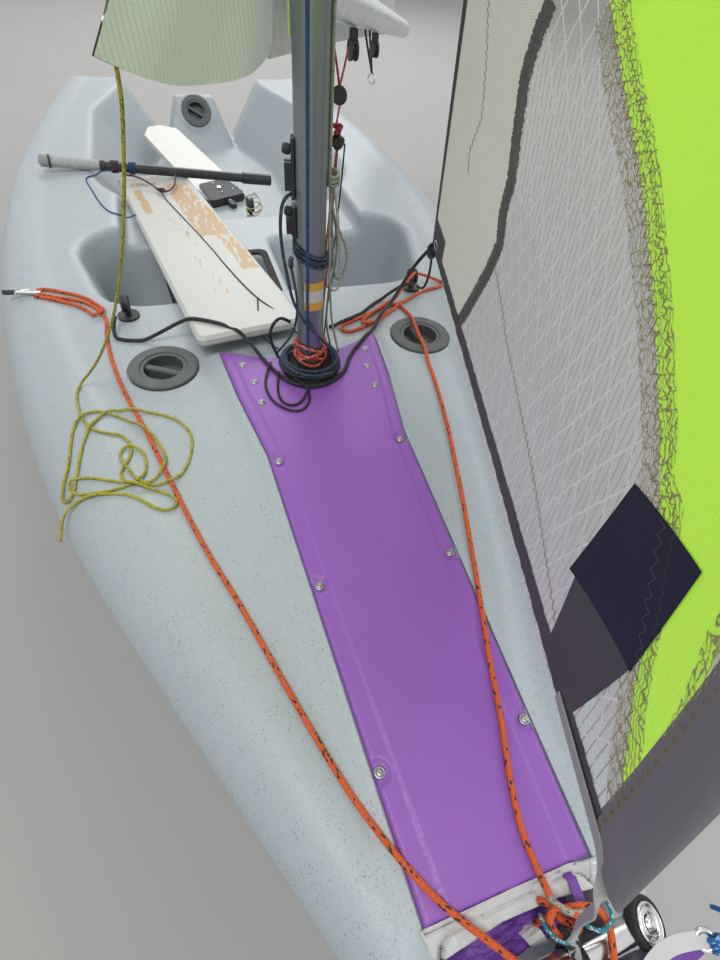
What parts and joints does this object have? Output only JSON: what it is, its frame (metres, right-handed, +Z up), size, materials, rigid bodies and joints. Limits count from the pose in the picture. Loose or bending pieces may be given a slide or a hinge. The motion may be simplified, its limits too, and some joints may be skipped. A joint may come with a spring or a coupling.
{
  "type": "sailing dinghy",
  "caption": "Two-handed rotomoulded sailing dinghy with decked bow, open cockpit, unstayed mast, swinging boom, sails, loose foils and turning hatch lids.",
  "frame": {"origin": "point where the mast axis meets the plane of the flat keel band on which the boat stands", "axes": "+X forward to the bow, +Y to port, +Z up along the mast"},
  "size_m": [3.623, 1.6448, 5.494],
  "materials": {
    "hull_plastic": "speckled light grey moulded polyethylene",
    "panel_plastic": "purple moulded plastic, scuffed",
    "black_plastic": "weathered black plastic",
    "black_rubber": "matt",
    "alloy": "clear anodised",
    "black_alloy": "black anodised",
    "steel": "polished stainless steel",
    "sailcloth": "laminated scrim cloth",
    "nylon_cloth": "thin nylon",
    "foil_white": "worn white coating"
  },
  "bodies": {
    "boat": {"hull": "hull_plastic", "foredeck_panel": "panel_plastic", "hatch_rims": "black_plastic", "mast_lower": "alloy", "mast_upper": "alloy", "mast_joint_sleeve": "black_plastic", "masthead_fitting": "black_plastic", "masthead_sheave": "black_plastic", "mast_collar": "black_rubber", "jib_halyard_fitting": "steel", "gooseneck_bracket": "steel", "jib": "sailcloth", "bow_bar": "steel", "chute_sail_bundle": "nylon_cloth", "jib_sheet_blocks": "black_plastic", "board_slot_rim": "black_plastic", "mainsheet_base": "black_plastic", "daggerboard": "foil_white", "rudder_stock": "black_plastic", "rudder_blade": "foil_white", "rudder_pivot_pin": "steel", "tiller": "black_alloy", "tiller_extension": "black_alloy", "rudder_gudgeons": "steel"},
    "boom": {"boom_jaw": "black_plastic", "boom_tube": "alloy", "boom_end_cap": "black_plastic", "boom_blocks": "black_plastic", "mainsail": "sailcloth"},
    "lid_fore_starboard": {"hatch_lid_fore_starboard": "black_plastic"},
    "lid_fore_port": {"hatch_lid_fore_port": "black_plastic"},
    "lid_stern": {"hatch_lid_stern": "black_plastic"},
    "mainsheet_swivel": {"mainsheet_arm": "black_plastic", "mainsheet_block": "black_plastic"}
  },
  "joints": [
    {"name": "boom_swing", "type": "hinge", "parent": "boat", "child": "boom", "pos_m": [-0.052, 0, 1.06], "axis": [0, 0, 1], "range_deg": [-60, 112], "deforming": ["mainsail", "jib"]},
    {"name": "lid_fore_starboard_turn", "type": "hinge", "parent": "boat", "child": "lid_fore_starboard", "pos_m": [-0.088, -0.294, 0.465], "axis": [0, 0, 1], "range_deg": [0, 90]},
    {"name": "lid_fore_port_turn", "type": "hinge", "parent": "boat", "child": "lid_fore_port", "pos_m": [-0.088, 0.294, 0.465], "axis": [0, 0, 1], "range_deg": [0, 90]},
    {"name": "lid_stern_turn", "type": "hinge", "parent": "boat", "child": "lid_stern", "pos_m": [-2.308, 0, 0.332], "axis": [0.7869, 0, 0.617], "range_deg": [0, 90]},
    {"name": "mainsheet_swivel_turn", "type": "hinge", "parent": "boat", "child": "mainsheet_swivel", "pos_m": [-1.28, 0.085, 0.24], "axis": [0, 0, 1], "continuous": true}
  ]
}
